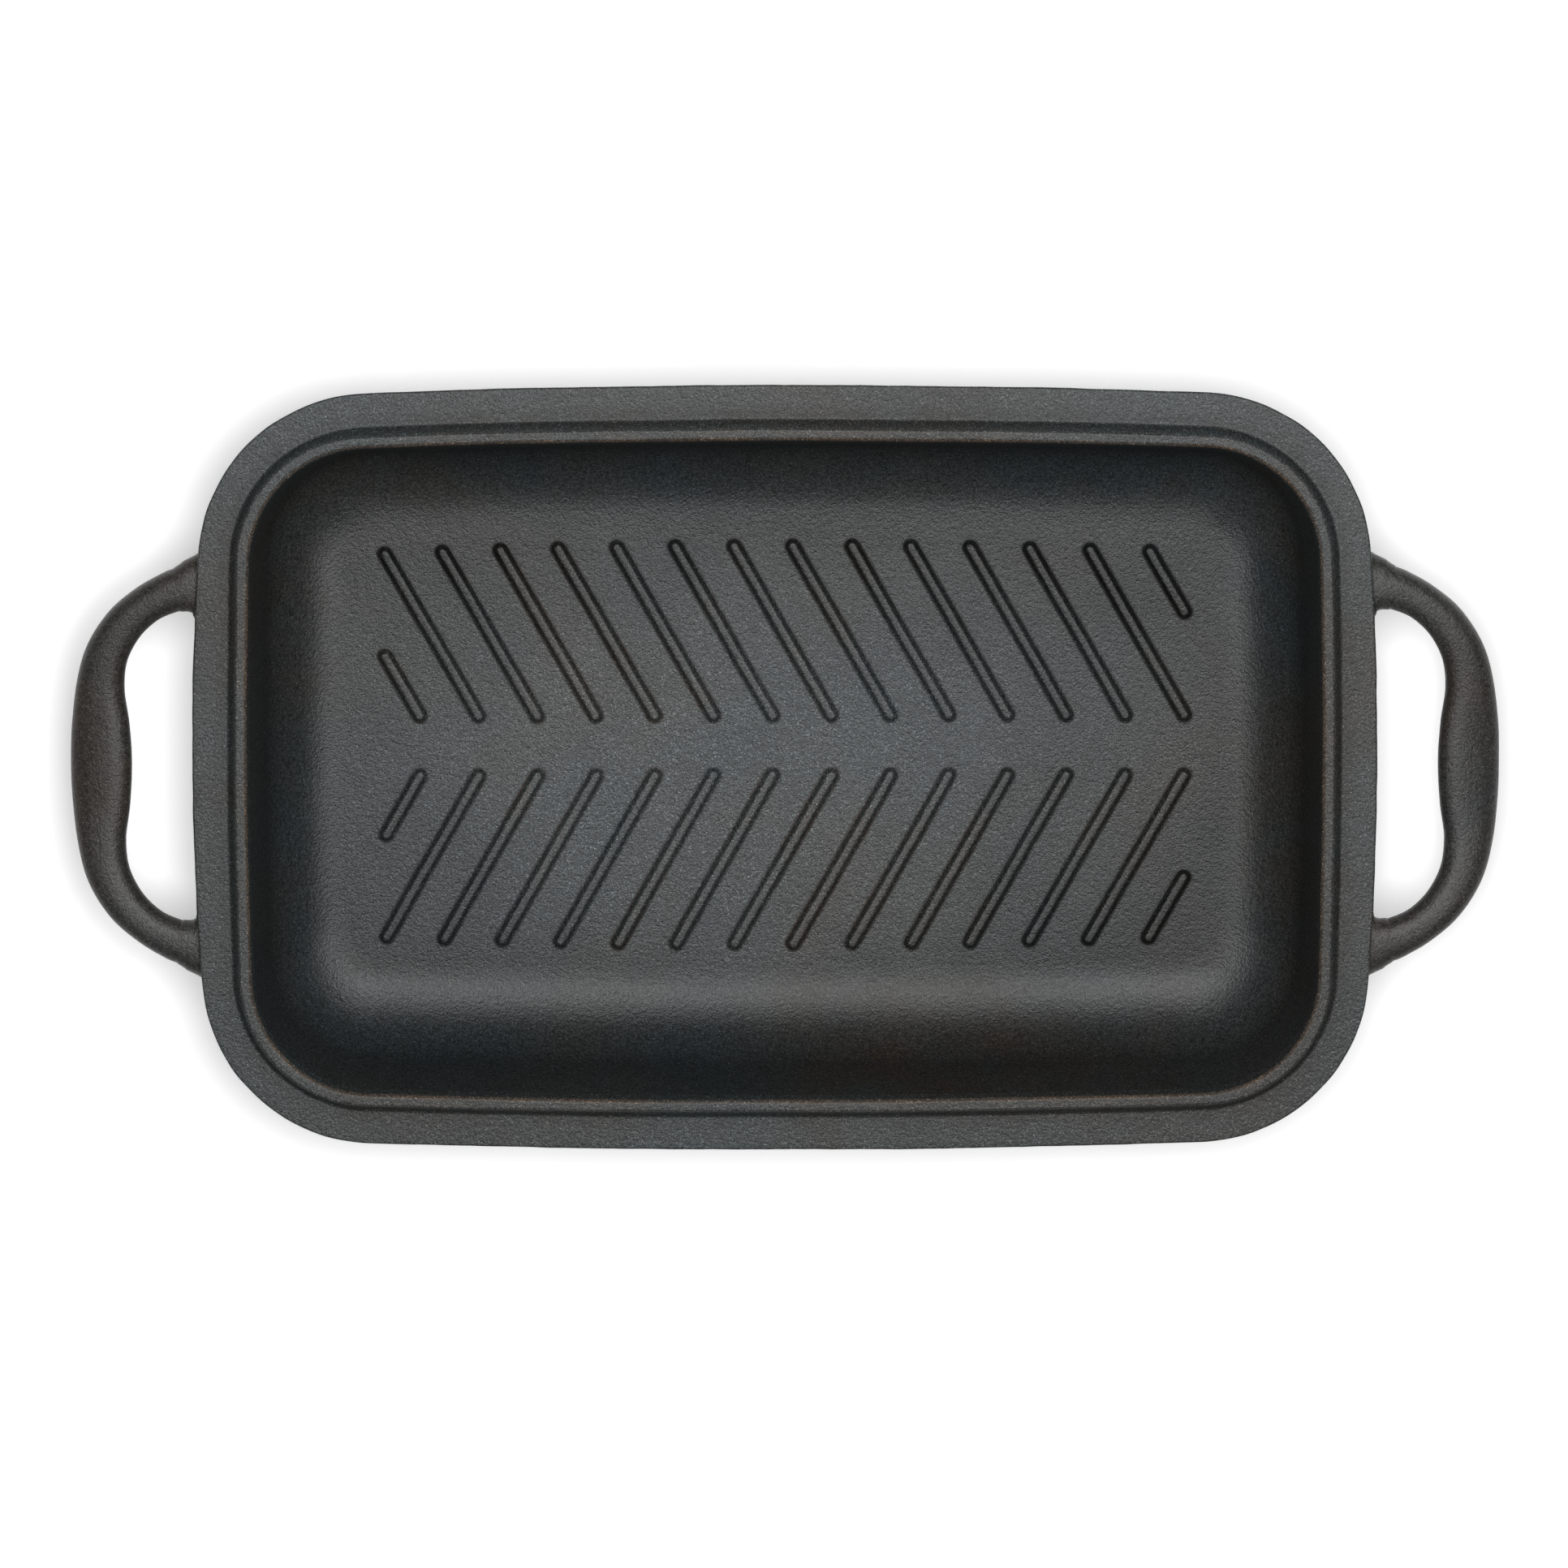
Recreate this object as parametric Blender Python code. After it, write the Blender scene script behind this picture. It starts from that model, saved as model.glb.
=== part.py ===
"""A ribbed rectangular griddle pan in cast iron, lying on its flat base with its open side up.

The real pan is one casting. Its features are kept here as separate solids, 0.3 mm apart: the tub, the rim flange
round its mouth, the raised lip that locates a mating pan, two loop handles and two rows of slanting ribs on the
floor. Metres, +Z up, +X along the pan. The origin is the centre of the base.
"""

import math
from collections import namedtuple

import bmesh
import bpy
from mathutils import Vector

# Heights above the base.
FLOOR_THICKNESS = 0.0050
FLANGE_TOP = 0.0420
FLANGE_THICKNESS = 0.0070
LIP_HEIGHT = 0.0040
LIP_TOP = FLANGE_TOP + LIP_HEIGHT

# The wall of the tub, in section.
INNER_FILLET = 0.0200
OUTER_FILLET = INNER_FILLET + FLOOR_THICKNESS
WALL_DRAFT = math.radians(10.5)

# The gap between two solids that touch on the real casting.
GAP = 0.0003

# A plan outline has slightly bowed sides and ends, joined by corner arcs. Sizes are from the pan's centre.
Outline = namedtuple("Outline", "half_length half_width side_radius end_radius corner_radius")
FLOOR = Outline(0.1255, 0.0652, 3.48, 1.81, 0.0150)
MOUTH = Outline(0.1497, 0.0935, 3.48, 1.81, 0.0333)
LIP_CREST = Outline(0.1529, 0.0966, 3.42, 1.82, 0.0356)
LIP_FOOT = Outline(0.1548, 0.0987, 3.35, 1.82, 0.0385)
FLANGE_EDGE = Outline(0.1652, 0.1086, 3.216, 0.854, 0.0485)
# How far the tub's top reaches out past the foot of the lip that stands on it.
TUB_MARGIN = 0.0001
# The flange's outer face leans in towards its underside. Its upper edge is crisp and its lower edge is rounded.
FLANGE_DRAFT = math.radians(12)
FLANGE_UPPER_ROUND = 0.0005
FLANGE_LOWER_ROUND = 0.0012
LIP_ROUND = 0.0008

# Facets of one quarter of an outline.
END_FACETS = 2
CORNER_FACETS = 8
SIDE_FACETS = 3
FILLET_FACETS = 6

# Ribs: two mirrored rows of slanting lines, cut off at the edges of a rib field with bowed sides.
RIBS_IN_ROW = 15
RIB_PITCH = 0.0165
RIB_SLANT = math.radians(60.6)
RIB_FIELD_HALF_LENGTH = 0.1131
RIB_FIELD_HALF_WIDTH = 0.0587
RIB_FIELD_BOW_RADIUS = 3.2
ROW_HALF_GAP = 0.0066
RIB_HEIGHT = 0.0015
RIB_FOOT_WIDTH = 0.0044
RIB_TOP_WIDTH = 0.0022
RIB_END_FACETS = 5

# Right handle: stations from the middle of the grip to the root, each with the centre of the section, its width
# in plan, its thickness, and how far it leans, outer side down. The loop is the same either side of its middle.
HANDLE_STATIONS = (
    (0.1907, 0.0000, 0.0325, 0.0170, 0.0090, math.radians(10)),
    (0.1908, 0.0110, 0.0325, 0.0160, 0.0090, math.radians(10)),
    (0.1908, 0.0216, 0.0328, 0.0135, 0.0092, math.radians(8)),
    (0.1889, 0.0312, 0.0333, 0.0121, 0.0094, math.radians(4)),
    (0.1841, 0.0397, 0.0340, 0.0112, 0.0094, 0),
    (0.1776, 0.0456, 0.0346, 0.0106, 0.0092, 0),
    (0.1710, 0.0487, 0.0351, 0.0108, 0.0090, 0),
    (0.1671, 0.0494, 0.0353, 0.0120, 0.0092, 0),
)
ROOT_Y = 0.0495
ROOT_HEIGHT = 0.0354
ROOT_WIDTH = 0.0150
ROOT_THICKNESS = 0.0100
STEPS_BETWEEN_STATIONS = 2
HANDLE_SECTION_FACETS = 14
SECTION_SQUARENESS = 2.5

# Colours, roughness and metallic value of the bare, oiled iron.
BODY_COLOUR = (0.075, 0.080, 0.082, 1.0)
RIM_COLOUR = (0.080, 0.082, 0.080, 1.0)
HANDLE_COLOUR = (0.068, 0.064, 0.060, 1.0)
RIB_COLOUR = (0.078, 0.083, 0.085, 1.0)
ROUGHNESS = 0.55
METALLIC = 0.35


def clear_scene():
    for obj in list(bpy.data.objects):
        bpy.data.objects.remove(obj, do_unlink=True)


def iron(name, colour):
    material = bpy.data.materials.new(name)
    material.use_nodes = True
    shader = material.node_tree.nodes["Principled BSDF"]
    shader.inputs["Base Color"].default_value = colour
    shader.inputs["Roughness"].default_value = ROUGHNESS
    shader.inputs["Metallic"].default_value = METALLIC
    return material


def inset(outline, amount):
    """The outline moved in by an amount all round."""
    return Outline(*(size - amount for size in outline))


def between(first, second, share):
    """An outline a share of the way from the first to the second."""
    return Outline(*(a + (b - a) * share for a, b in zip(first, second)))


def arc(centre, radius, start, end, facets):
    """Points on an arc, without its last one."""
    angles = [start + (end - start) * i / facets for i in range(facets)]
    return [(centre[0] + radius * math.cos(a), centre[1] + radius * math.sin(a)) for a in angles]


def corner_centre(outline):
    """The centre of the corner arc that touches the end arc and the side arc from inside."""
    to_end = outline.end_radius - outline.corner_radius
    to_side = outline.side_radius - outline.corner_radius
    end_x = outline.half_length - outline.end_radius
    side_y = outline.half_width - outline.side_radius
    apart = math.hypot(end_x, side_y)
    along = (to_end**2 - to_side**2 + apart**2) / (2 * apart)
    across = math.sqrt(to_end**2 - along**2)
    unit_x = -end_x / apart
    unit_y = side_y / apart
    return end_x + along * unit_x - across * unit_y, along * unit_y + across * unit_x


def outline_points(outline):
    """The outline's corners, anticlockwise from +X."""
    end_centre = (outline.half_length - outline.end_radius, 0.0)
    side_centre = (0.0, outline.half_width - outline.side_radius)
    corner = corner_centre(outline)
    end_angle = math.atan2(corner[1], corner[0] - end_centre[0])
    side_angle = math.atan2(corner[1] - side_centre[1], corner[0])
    quarter = arc(end_centre, outline.end_radius, 0.0, end_angle, END_FACETS)
    quarter += arc(corner, outline.corner_radius, end_angle, side_angle, CORNER_FACETS)
    quarter += arc(side_centre, outline.side_radius, side_angle, math.pi / 2, SIDE_FACETS)
    half = quarter + [(0.0, outline.half_width)] + [(-x, y) for x, y in reversed(quarter[1:])]
    return half + [(-outline.half_length, 0.0)] + [(x, -y) for x, y in reversed(half[1:])]


def ring(outline, height):
    return [Vector((x, y, height)) for x, y in outline_points(outline)]


def solid_from_rings(name, rings, material, hoop=False, smooth=math.radians(40)):
    """A closed solid skinned over rings of equal length: a hoop joins its last ring to its first, and any other
    solid is capped at both ends."""
    mesh = bmesh.new()
    rows = [[mesh.verts.new(point) for point in points] for points in rings]
    pairs = list(zip(rows, rows[1:]))
    if hoop:
        pairs.append((rows[-1], rows[0]))
    else:
        mesh.faces.new(reversed(rows[0]))
        mesh.faces.new(rows[-1])
    for lower, upper in pairs:
        for i in range(len(lower)):
            j = (i + 1) % len(lower)
            mesh.faces.new((lower[i], lower[j], upper[j], upper[i]))
    bmesh.ops.recalc_face_normals(mesh, faces=mesh.faces)
    data = bpy.data.meshes.new(name)
    mesh.to_mesh(data)
    mesh.free()
    data.shade_smooth()
    data.set_sharp_from_angle(angle=smooth)
    data.materials.append(material)
    obj = bpy.data.objects.new(name, data)
    bpy.context.scene.collection.objects.link(obj)
    return obj


def wall_section(fillet, floor, top):
    """The section of a wall from the edge of its flat floor up to its top, as (run outwards, height)."""
    sweep = math.pi / 2 - WALL_DRAFT
    points = []
    for i in range(FILLET_FACETS + 1):
        angle = sweep * i / FILLET_FACETS
        points.append((fillet * math.sin(angle), floor + fillet * (1 - math.cos(angle))))
    run, height = points[-1]
    points.append((run + (top - height) * math.tan(WALL_DRAFT), top))
    return points


def run_at(section, height):
    """The run of a wall section's straight stretch at a height."""
    return section[-1][0] - (section[-1][1] - height) * math.tan(WALL_DRAFT)


def inner_outline(height):
    """The cavity's outline at a height on the straight stretch of its wall."""
    section = wall_section(INNER_FILLET, FLOOR_THICKNESS, LIP_TOP)
    return between(FLOOR, MOUTH, run_at(section, height) / section[-1][0])


def make_tub(material):
    outside = wall_section(OUTER_FILLET, 0.0, FLANGE_TOP)
    inside = wall_section(INNER_FILLET, FLOOR_THICKNESS, LIP_TOP)
    outer_top = inset(LIP_FOOT, -TUB_MARGIN)
    rings = [ring(between(FLOOR, outer_top, run / outside[-1][0]), height) for run, height in outside]
    rings.append(ring(inner_outline(FLANGE_TOP), FLANGE_TOP))
    for run, height in reversed(inside[:-1]):
        rings.append(ring(between(FLOOR, MOUTH, run / inside[-1][0]), height))
    return solid_from_rings("pan_tub", rings, material)


def flange_lean(height):
    """How far in from its upper edge the flange's outer face is at a height."""
    return (FLANGE_TOP - height) * math.tan(FLANGE_DRAFT)


def make_flange(material):
    """The flat rim round the tub, clear of the lip, with a leaning outer face."""
    inner = inset(LIP_FOOT, -TUB_MARGIN - GAP)
    bottom = FLANGE_TOP - FLANGE_THICKNESS
    rings = [ring(inner, bottom)]
    for step in (0, 45, 90):
        angle = math.radians(step)
        height = bottom + FLANGE_LOWER_ROUND * (1 - math.cos(angle))
        rounding = FLANGE_LOWER_ROUND * (1 - math.sin(angle))
        rings.append(ring(inset(FLANGE_EDGE, flange_lean(height) + rounding), height))
    rings.append(ring(FLANGE_EDGE, FLANGE_TOP - FLANGE_UPPER_ROUND))
    rings.append(ring(inset(FLANGE_EDGE, FLANGE_UPPER_ROUND), FLANGE_TOP))
    rings.append(ring(inner, FLANGE_TOP))
    return solid_from_rings("rim_flange", rings, material, hoop=True)


def make_lip(material):
    """The raised lip on the flange's inner edge, flush with the cavity's wall."""
    bottom = FLANGE_TOP + GAP
    shoulder = LIP_TOP - LIP_ROUND
    rings = [
        ring(inner_outline(bottom), bottom),
        ring(LIP_FOOT, bottom),
        ring(LIP_CREST, shoulder),
        ring(inset(LIP_CREST, LIP_ROUND), LIP_TOP),
        ring(inset(MOUTH, -LIP_ROUND), LIP_TOP),
        ring(inner_outline(shoulder), shoulder),
    ]
    return solid_from_rings("locating_lip", rings, material, hoop=True)


def rib_span(number):
    """The two ends of a rib in the row on the +Y side, where its slanting line leaves the rib field."""
    slope = math.tan(RIB_SLANT)
    start_x = RIB_FIELD_HALF_LENGTH - RIB_PITCH * (number - 1)
    inner_x = min(start_x, RIB_FIELD_HALF_LENGTH)
    inner = Vector((inner_x, ROW_HALF_GAP + (start_x - inner_x) * slope))
    full_x = start_x - (RIB_FIELD_HALF_WIDTH - ROW_HALF_GAP) / slope
    bow = full_x**2 / (2 * RIB_FIELD_BOW_RADIUS)
    outer_x = max(full_x + bow / slope, -RIB_FIELD_HALF_LENGTH)
    outer = Vector((outer_x, ROW_HALF_GAP + (start_x - outer_x) * slope))
    return inner, outer


def stadium(start, end, width, height):
    """A round-ended outline from tip to tip, at a height."""
    along = (end - start).normalized()
    across = Vector((-along.y, along.x))
    radius = width / 2
    points = []
    for centre, turn in ((end - along * radius, -90), (start + along * radius, 90)):
        for i in range(RIB_END_FACETS + 1):
            angle = math.radians(turn + 180 * i / RIB_END_FACETS)
            spot = centre + radius * (along * math.cos(angle) + across * math.sin(angle))
            points.append(Vector((spot.x, spot.y, height)))
    return points


def make_rib(name, start, end, material):
    along = (end - start).normalized()
    taper = along * (RIB_FOOT_WIDTH - RIB_TOP_WIDTH) / 2
    foot = FLOOR_THICKNESS + GAP
    top = FLOOR_THICKNESS + RIB_HEIGHT
    shoulder_width = (RIB_FOOT_WIDTH + RIB_TOP_WIDTH) / 2
    rings = [
        stadium(start, end, RIB_FOOT_WIDTH, foot),
        stadium(start + taper / 2, end - taper / 2, shoulder_width, foot + (top - foot) * 0.7),
        stadium(start + taper, end - taper, RIB_TOP_WIDTH, top),
    ]
    return solid_from_rings(name, rings, material)


def make_rib_row(row, side, material):
    """One row of ribs, numbered from the +X end. side is 1 for the row at +Y and -1 for its mirror image."""
    for number in range(RIBS_IN_ROW):
        inner, outer = rib_span(number)
        inner.y *= side
        outer.y *= side
        make_rib(f"{row}_rib_{number + 1:02d}", inner, outer, material)


def spline_through(points, steps):
    """A Catmull-Rom curve through the points."""
    padded = [2 * points[0] - points[1]] + points + [2 * points[-1] - points[-2]]
    curve = []
    for p0, p1, p2, p3 in zip(padded, padded[1:], padded[2:], padded[3:]):
        for i in range(steps):
            t = i / steps
            bend = (2 * p0 - 5 * p1 + 4 * p2 - p3) * t**2 + (3 * p1 - p0 - 3 * p2 + p3) * t**3
            curve.append(0.5 * (2 * p1 + (p2 - p0) * t + bend))
    curve.append(points[-1])
    return curve


def handle_section(centre, across, width, thickness):
    """A flattened round section whose width lies along a direction and whose thickness stands upright."""
    points = []
    for i in range(HANDLE_SECTION_FACETS):
        angle = 2 * math.pi * i / HANDLE_SECTION_FACETS
        cosine = math.cos(angle)
        sine = math.sin(angle)
        flat = math.copysign(abs(cosine) ** (2 / SECTION_SQUARENESS), cosine) * width / 2
        rise = math.copysign(abs(sine) ** (2 / SECTION_SQUARENESS), sine) * thickness / 2
        points.append(centre + across * flat + Vector((0, 0, rise)))
    return points


def root_section(side):
    """The handle's end, parallel to the flange's leaning outer face and a gap away from it."""
    turn = math.asin(ROOT_Y / FLANGE_EDGE.end_radius)
    outwards = Vector((math.cos(turn), side * math.sin(turn), 0))
    end_x = FLANGE_EDGE.half_length - FLANGE_EDGE.end_radius * (1 - math.cos(turn))
    centre = Vector((end_x, side * ROOT_Y, ROOT_HEIGHT)) + outwards * GAP
    across = Vector((-outwards.y, outwards.x, 0)) * side
    points = handle_section(centre, across, ROOT_WIDTH, ROOT_THICKNESS)
    return [point - outwards * flange_lean(point.z) for point in points]


def make_handle(name, end, material):
    """A loop handle. end is 1 for the handle at +X and -1 for its mirror image."""
    half = [Vector(station) for station in HANDLE_STATIONS]
    mirrored = [Vector((s[0], -s[1], *s[2:])) for s in reversed(half[1:])]
    curve = spline_through(mirrored + half, STEPS_BETWEEN_STATIONS)
    rings = [root_section(-1)]
    for before, here, after in zip([curve[0]] + curve, curve, curve[1:] + [curve[-1]]):
        ahead = Vector((after[0] - before[0], after[1] - before[1], 0)).normalized()
        across = Vector((ahead.y, -ahead.x, -math.tan(here[5])))
        rings.append(handle_section(Vector(here[:3]), across, here[3], here[4]))
    rings.append(root_section(1))
    if end < 0:
        rings = [[Vector((-p.x, p.y, p.z)) for p in points] for points in rings]
    return solid_from_rings(name, rings, material)


def main():
    clear_scene()
    body = iron("body_iron", BODY_COLOUR)
    rim = iron("rim_iron", RIM_COLOUR)
    grip = iron("handle_iron", HANDLE_COLOUR)
    rib = iron("rib_iron", RIB_COLOUR)
    make_tub(body)
    make_flange(rim)
    make_lip(rim)
    make_handle("right_handle", 1, grip)
    make_handle("left_handle", -1, grip)
    make_rib_row("upper", 1, rib)
    make_rib_row("lower", -1, rib)


main()
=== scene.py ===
"""The looks of the ribbed griddle pan: an iron casting with sand-cast skin, on a pale studio floor."""

import math
from collections import namedtuple

import bmesh
import bpy
import numpy as np
from mathutils import Euler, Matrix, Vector


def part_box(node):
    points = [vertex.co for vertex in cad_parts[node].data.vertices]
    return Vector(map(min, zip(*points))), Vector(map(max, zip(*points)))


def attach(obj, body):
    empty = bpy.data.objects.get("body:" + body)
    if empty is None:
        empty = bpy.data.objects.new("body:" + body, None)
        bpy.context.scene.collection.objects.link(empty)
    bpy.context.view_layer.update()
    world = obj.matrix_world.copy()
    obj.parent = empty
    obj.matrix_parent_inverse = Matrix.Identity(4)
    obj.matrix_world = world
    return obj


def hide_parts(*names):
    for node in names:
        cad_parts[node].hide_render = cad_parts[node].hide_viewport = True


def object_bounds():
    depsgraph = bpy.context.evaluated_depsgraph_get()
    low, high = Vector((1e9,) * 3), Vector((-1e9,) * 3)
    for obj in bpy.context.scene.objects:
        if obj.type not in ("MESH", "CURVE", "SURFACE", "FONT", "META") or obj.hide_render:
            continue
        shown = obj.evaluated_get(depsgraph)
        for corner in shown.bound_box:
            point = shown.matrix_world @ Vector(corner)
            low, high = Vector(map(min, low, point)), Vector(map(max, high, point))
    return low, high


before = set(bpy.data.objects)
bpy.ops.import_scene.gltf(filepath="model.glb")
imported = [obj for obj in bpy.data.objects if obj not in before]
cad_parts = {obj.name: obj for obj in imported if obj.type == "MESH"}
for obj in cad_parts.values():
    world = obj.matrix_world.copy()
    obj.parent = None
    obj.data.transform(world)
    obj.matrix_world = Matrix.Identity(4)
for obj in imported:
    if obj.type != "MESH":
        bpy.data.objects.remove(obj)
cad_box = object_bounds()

# Heights and reaches, from the frame.
FLANGE_LOW, FLANGE_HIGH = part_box("rim_flange")
LIP_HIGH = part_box("locating_lip")[1]
FLANGE_TOP = FLANGE_HIGH.z
FLANGE_BOTTOM = FLANGE_LOW.z
LIP_TOP = LIP_HIGH.z

# The casting's section.
FLOOR_TOP = 0.0050
WALL_DRAFT = math.radians(10.5)
INNER_FILLET = 0.0200
OUTER_FILLET = INNER_FILLET + FLOOR_TOP
UNDER_FLANGE_FILLET = 0.0030
FLANGE_DRAFT = math.radians(12)
FLANGE_UPPER_ROUND = 0.0006
FLANGE_LOWER_ROUND = 0.0014
LIP_FOOT_FILLET = 0.0010
LIP_OUTER_ROUND = 0.0009
LIP_INNER_ROUND = 0.0014
# Where the lip's piece meets the flange's, past the fillet at the lip's foot.
LIP_SEAM_REACH = LIP_HIGH.x + 0.0016

# A plan outline has slightly bowed sides and ends, joined by corner arcs. Sizes are from the pan's centre.
Outline = namedtuple("Outline", "half_length half_width side_radius end_radius corner_radius")
FLOOR = Outline(0.1255, 0.0652, 3.48, 1.81, 0.0150)
MOUTH = Outline(0.1497, 0.0935, 3.48, 1.81, 0.0333)
LIP_CREST = Outline(0.1529, 0.0966, 3.42, 1.82, 0.0356)
LIP_FOOT = Outline(LIP_HIGH.x, LIP_HIGH.y, 3.35, 1.82, 0.0385)
FLANGE_EDGE = Outline(FLANGE_HIGH.x, FLANGE_HIGH.y, 3.216, 0.854, 0.0485)
# How far out the wall's outside would be at the flange's top.
OUTER_WALL_TOP = LIP_FOOT.half_length - 0.0001
KEY_OUTLINES = (FLOOR, MOUTH, LIP_CREST, LIP_FOOT, FLANGE_EDGE)
LEAST_CORNER = 0.0006
# How far in from the edge of the pan's flat floor the walls' sections begin.
FLAT_MARGIN = 0.030

# Points in one quarter of an outline, and the longest steps across each section.
END_STEPS = 26
CORNER_STEPS = 34
SIDE_STEPS = 44
WALL_STEP = 0.0022
FLOOR_STEP = 0.0040
RIM_STEP = 0.0012
LIP_STEP = 0.0008
ROUND_STEP = math.radians(9)
FEWEST_ROUND_STEPS = 4

SHARP_ANGLE = math.radians(42)
# Points closer than this become one, and edges shorter than this are dissolved.
SAME_POINT = 0.000002
NO_LENGTH = 0.000001


def arc_points(centre, radius, start, end, steps):
    angles = start + (end - start) * np.arange(steps) / steps
    return np.column_stack((centre[0] + radius * np.cos(angles), centre[1] + radius * np.sin(angles)))


def corner_centre(outline):
    """The centre of the corner arc that touches the end arc and the side arc from inside."""
    to_end = outline.end_radius - outline.corner_radius
    to_side = outline.side_radius - outline.corner_radius
    end_x = outline.half_length - outline.end_radius
    side_y = outline.half_width - outline.side_radius
    apart = math.hypot(end_x, side_y)
    along = (to_end**2 - to_side**2 + apart**2) / (2 * apart)
    across = math.sqrt(to_end**2 - along**2)
    unit_x = -end_x / apart
    unit_y = side_y / apart
    return end_x + along * unit_x - across * unit_y, along * unit_y + across * unit_x


def outline_points(outline):
    """The outline's points in plan, anticlockwise from +X."""
    end_centre = (outline.half_length - outline.end_radius, 0.0)
    side_centre = (0.0, outline.half_width - outline.side_radius)
    corner = corner_centre(outline)
    end_angle = math.atan2(corner[1], corner[0] - end_centre[0])
    side_angle = math.atan2(corner[1] - side_centre[1], corner[0])
    arcs = (
        arc_points(end_centre, outline.end_radius, 0.0, end_angle, END_STEPS),
        arc_points(corner, outline.corner_radius, end_angle, side_angle, CORNER_STEPS),
        arc_points(side_centre, outline.side_radius, side_angle, math.pi / 2, SIDE_STEPS),
    )
    quarter = np.vstack(arcs)
    half = np.vstack((quarter, [(0.0, outline.half_width)], quarter[:0:-1] * (-1, 1)))
    return np.vstack((half, [(-outline.half_length, 0.0)], half[:0:-1] * (1, -1)))


def outline_at(reach):
    """The outline with a half length of reach: between the key outlines, or inset from the smallest."""
    if reach < FLOOR.half_length:
        amount = FLOOR.half_length - reach
        corner = max(FLOOR.corner_radius - amount, LEAST_CORNER)
        return Outline(reach, FLOOR.half_width - amount, FLOOR.side_radius, FLOOR.end_radius, corner)
    for first, second in zip(KEY_OUTLINES, KEY_OUTLINES[1:]):
        if reach <= second.half_length:
            break
    share = (reach - first.half_length) / (second.half_length - first.half_length)
    return Outline(*(a + (b - a) * share for a, b in zip(first, second)))


def ring(reach, height):
    points = outline_points(outline_at(reach))
    return np.column_stack((points, np.full(len(points), height)))


def rounded(corners):
    """A section through corners given as (reach, height, fillet radius), each rounded to its radius."""
    spots = [Vector(corner[:2]) for corner in corners]
    line = [spots[0]]
    for before, here, after, (_, _, radius) in zip(spots, spots[1:], spots[2:], corners[1:]):
        if not radius:
            line.append(here)
            continue
        back = (before - here).normalized()
        on = (after - here).normalized()
        half = back.angle(on) / 2
        centre = here + (back + on).normalized() * radius / math.sin(half)
        start = here + back * radius / math.tan(half) - centre
        sweep = start.angle_signed(here + on * radius / math.tan(half) - centre)
        steps = max(FEWEST_ROUND_STEPS, math.ceil(abs(sweep) / ROUND_STEP))
        for i in range(steps + 1):
            turn = -sweep * i / steps
            turned = (
                start.x * math.cos(turn) - start.y * math.sin(turn),
                start.x * math.sin(turn) + start.y * math.cos(turn),
            )
            line.append(centre + Vector(turned))
    return line + [spots[-1]]


def stepped(line, step):
    """The line with every straight stretch cut into steps no longer than step."""
    full = []
    for here, after in zip(line, line[1:]):
        count = max(1, math.ceil((after - here).length / step))
        full += [here.lerp(after, i / count) for i in range(count)]
    return full + [line[-1]]


def inner_wall_reach(height):
    """How far out the cavity's wall is at a height on its straight stretch."""
    return MOUTH.half_length - (LIP_TOP - height) * math.tan(WALL_DRAFT)


def outer_wall_reach(height):
    """How far out the wall's outside is, parallel to the inside."""
    return OUTER_WALL_TOP - (FLANGE_TOP - height) * math.tan(WALL_DRAFT)


# Casting waviness: long, shallow waves, the same at a point whichever piece it is on. Each wave has its
# radians per metre along X, Y and Z, a phase and a height.
WAVES = (
    ((61, 23, 37), 0.3, 0.000060),
    ((-29, 84, 51), 1.9, 0.000050),
    ((141, -67, 90), 4.1, 0.000030),
    ((98, 172, -120), 2.6, 0.000026),
    ((-310, 220, 160), 0.9, 0.000012),
    ((260, 340, -210), 3.3, 0.000010),
)
# Each wave also moves the next axis, at this rate and phase.
CROSS_WAVE_RATE = 1.3
CROSS_WAVE_PHASE = 1.0


def waved(points):
    """The points moved by the casting's waviness, within the CAD's box."""
    moved = points.copy()
    for number, (direction, phase, height) in enumerate(WAVES):
        wave = points @ np.array(direction, float) + phase
        axis = number % 3
        moved[:, axis] += height * np.sin(wave)
        moved[:, (axis + 1) % 3] += height * np.cos(CROSS_WAVE_RATE * wave + CROSS_WAVE_PHASE)
    return np.clip(moved, np.array(cad_box[0]), np.array(cad_box[1]))


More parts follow.
